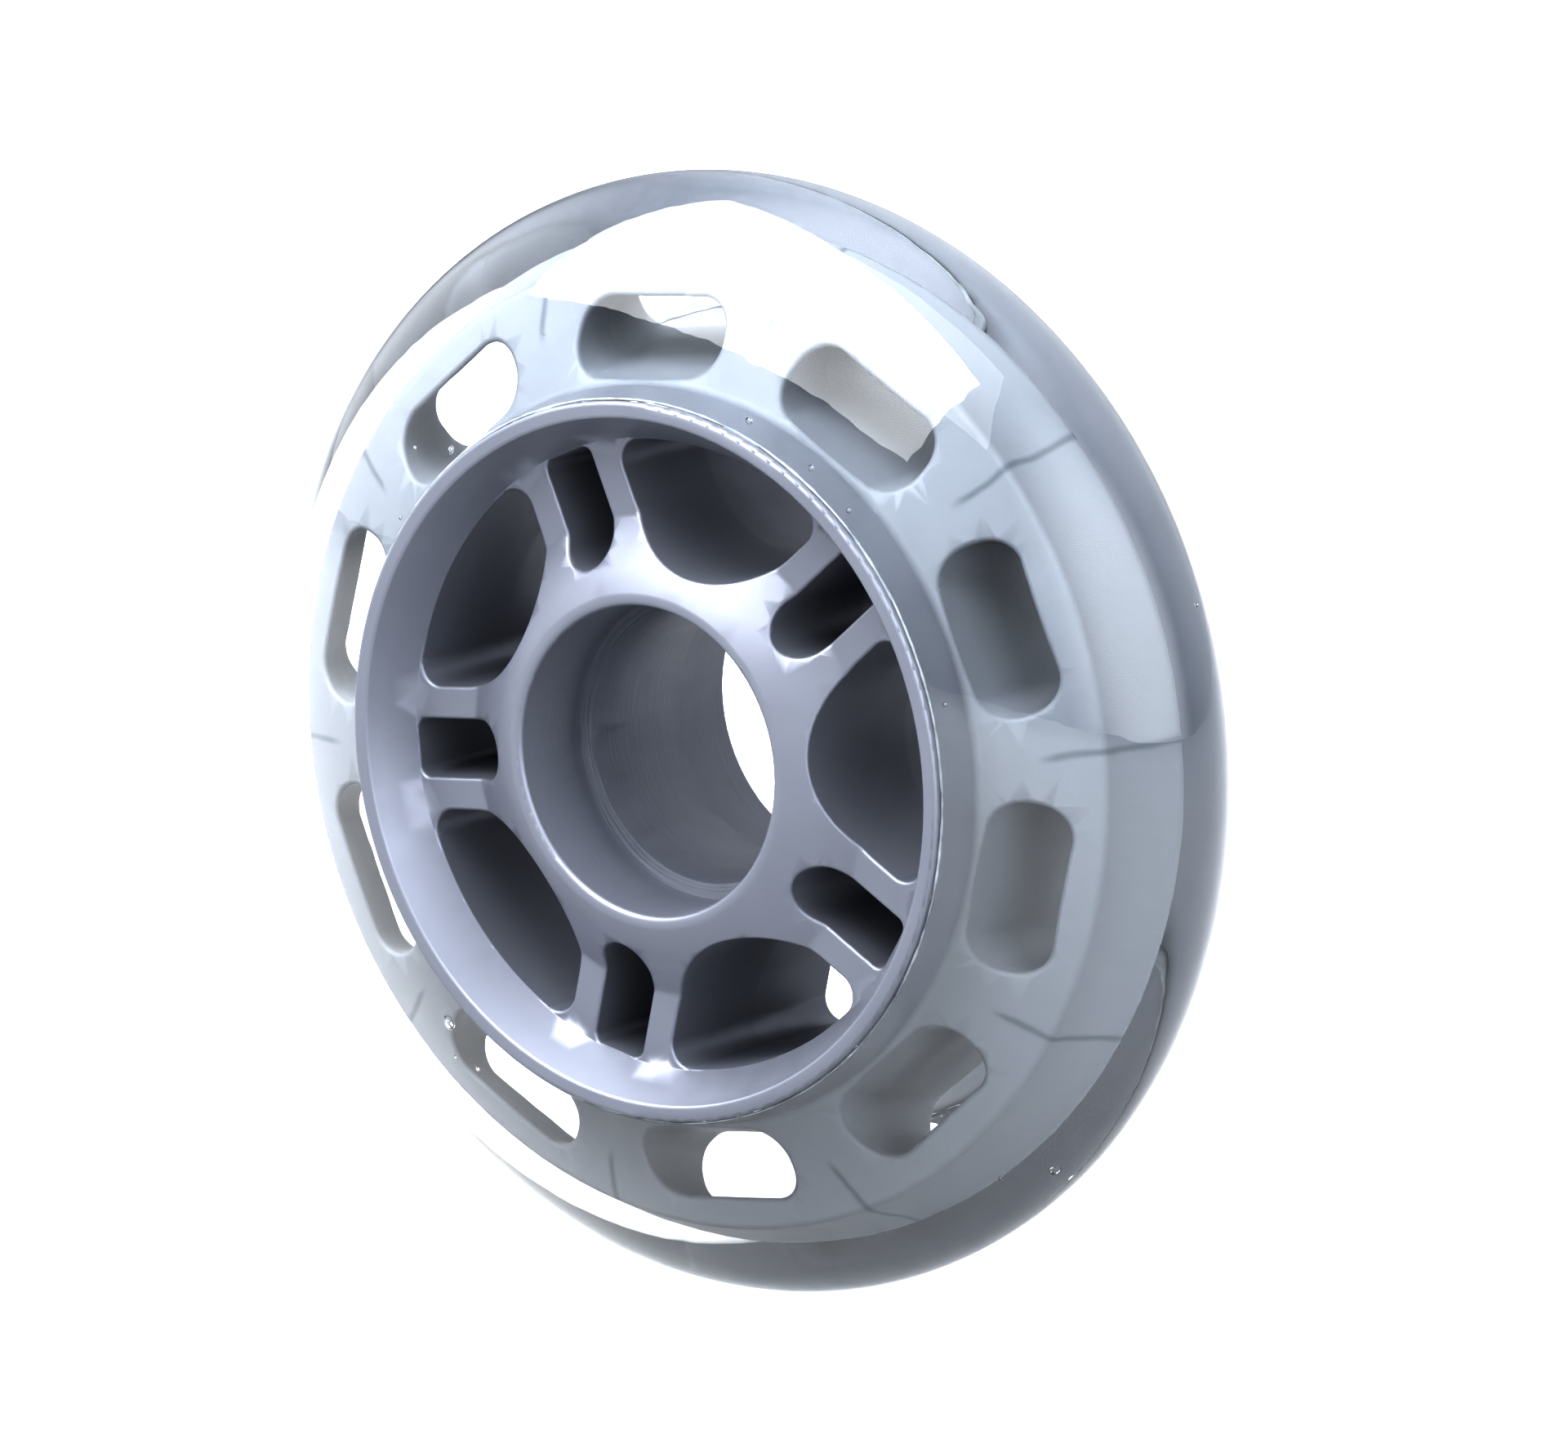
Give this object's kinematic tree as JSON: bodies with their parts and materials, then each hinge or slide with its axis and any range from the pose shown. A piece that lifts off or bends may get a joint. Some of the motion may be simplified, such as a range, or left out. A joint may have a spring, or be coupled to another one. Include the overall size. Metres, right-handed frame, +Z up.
{
  "type": "wheel",
  "caption": "Small solid wheel: a moulded plastic hub with paired spokes and two bearing seats, and a clear cast tyre with an elliptical section.",
  "frame": {"origin": "the wheel's centre, on the axle line and midway between its two faces", "axes": "+Y along the axle, from the face shown in front (towards -Y) to the rear face; +Z up; +X to the right of a viewer who stands at -Y"},
  "size_m": [0.08, 0.0252, 0.08],
  "materials": {
    "hub_plastic": "semi-matte moulded plastic",
    "clear_tyre": "clear, glossy cast polyurethane"
  },
  "bodies": {
    "root": {"hub": "hub_plastic", "tyre": "clear_tyre"}
  },
  "joints": []
}
